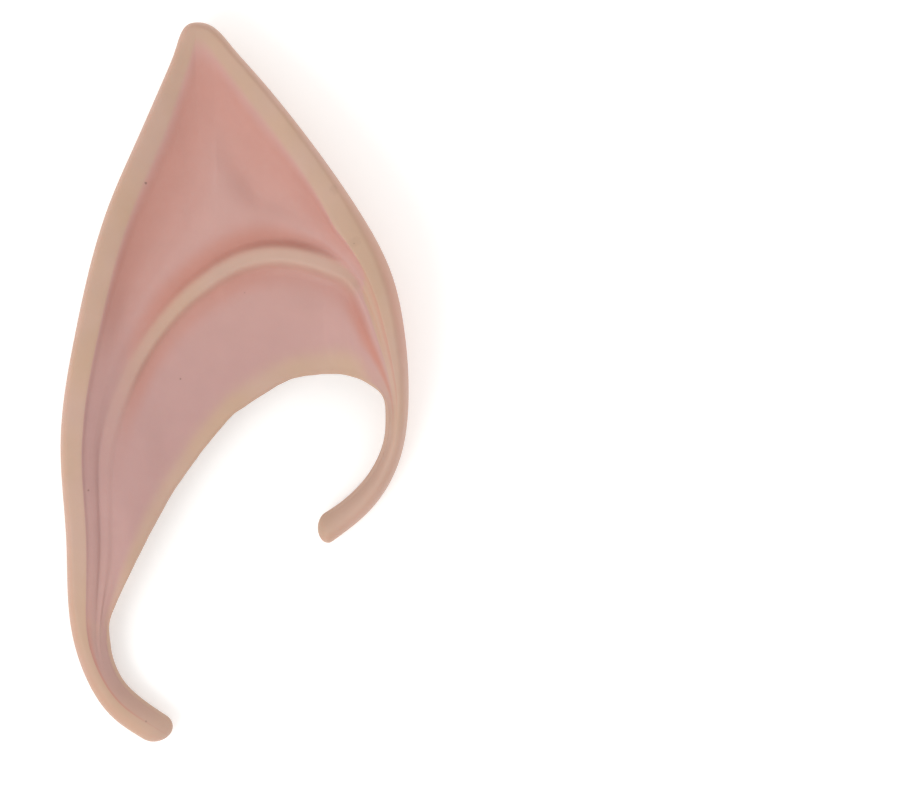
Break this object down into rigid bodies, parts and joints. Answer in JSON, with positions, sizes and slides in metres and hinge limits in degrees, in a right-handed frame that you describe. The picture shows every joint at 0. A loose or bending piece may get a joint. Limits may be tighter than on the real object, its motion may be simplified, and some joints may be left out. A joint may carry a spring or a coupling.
{
  "type": "elf ear tip",
  "caption": "Pointed ear tip in moulded latex, a hollow shell with a ridged inner face and hooks at both ends, slipped over the top of an ear.",
  "frame": {"origin": "middle of the ear's width and length, on the surface that its back lies on", "axes": "+Y to the pointed tip, +Z out of the side that shows when worn, +X to the wearer's face"},
  "size_m": [0.0602, 0.1248, 0.018],
  "materials": {
    "latex": "semi-matte, beige rim and ridge, pink recess"
  },
  "bodies": {
    "root": {"ear_shell": "latex"}
  },
  "joints": []
}
